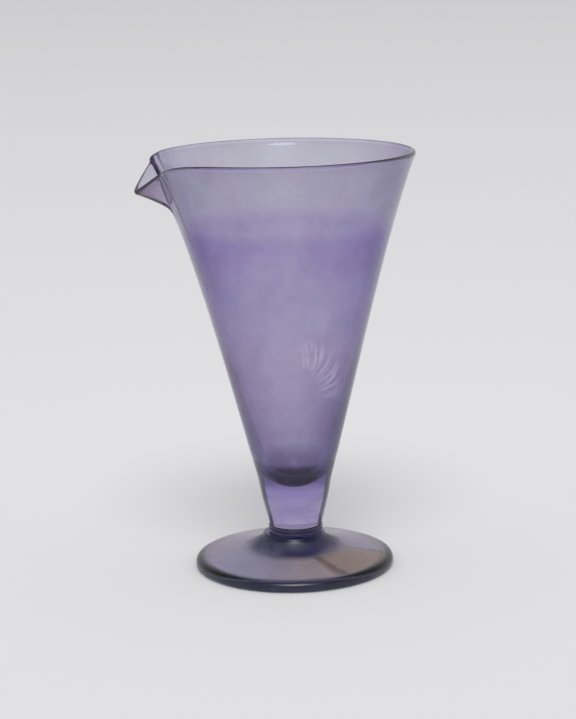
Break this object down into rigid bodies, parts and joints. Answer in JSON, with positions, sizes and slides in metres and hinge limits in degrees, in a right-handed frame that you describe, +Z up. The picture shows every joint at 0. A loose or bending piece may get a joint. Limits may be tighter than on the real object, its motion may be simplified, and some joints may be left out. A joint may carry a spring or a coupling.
{
  "type": "conical measuring glass",
  "caption": "Hand-blown conical measuring glass with a pulled pouring lip, a solid stem, a ringed collar and a round foot.",
  "frame": {"origin": "centre of the flat ring that the foot stands on, at table level", "axes": "+Z up through the middle of the foot, -X towards the pouring lip, -Y the front as pictured"},
  "size_m": [0.1038, 0.097, 0.1572],
  "materials": {
    "foot_glass": "fire-polished violet-tinted blown glass, softly waved, with a brown stain on one side",
    "collar_glass": "fire-polished violet-tinted glass, thick and dark",
    "stem_glass": "clear fire-polished violet-tinted solid glass",
    "bowl_glass": "violet-tinted blown glass with a faint bloom inside, deeper below a level line"
  },
  "bodies": {
    "root": {"foot": "foot_glass", "collar": "collar_glass", "stem": "stem_glass", "bowl": "bowl_glass"}
  },
  "joints": []
}
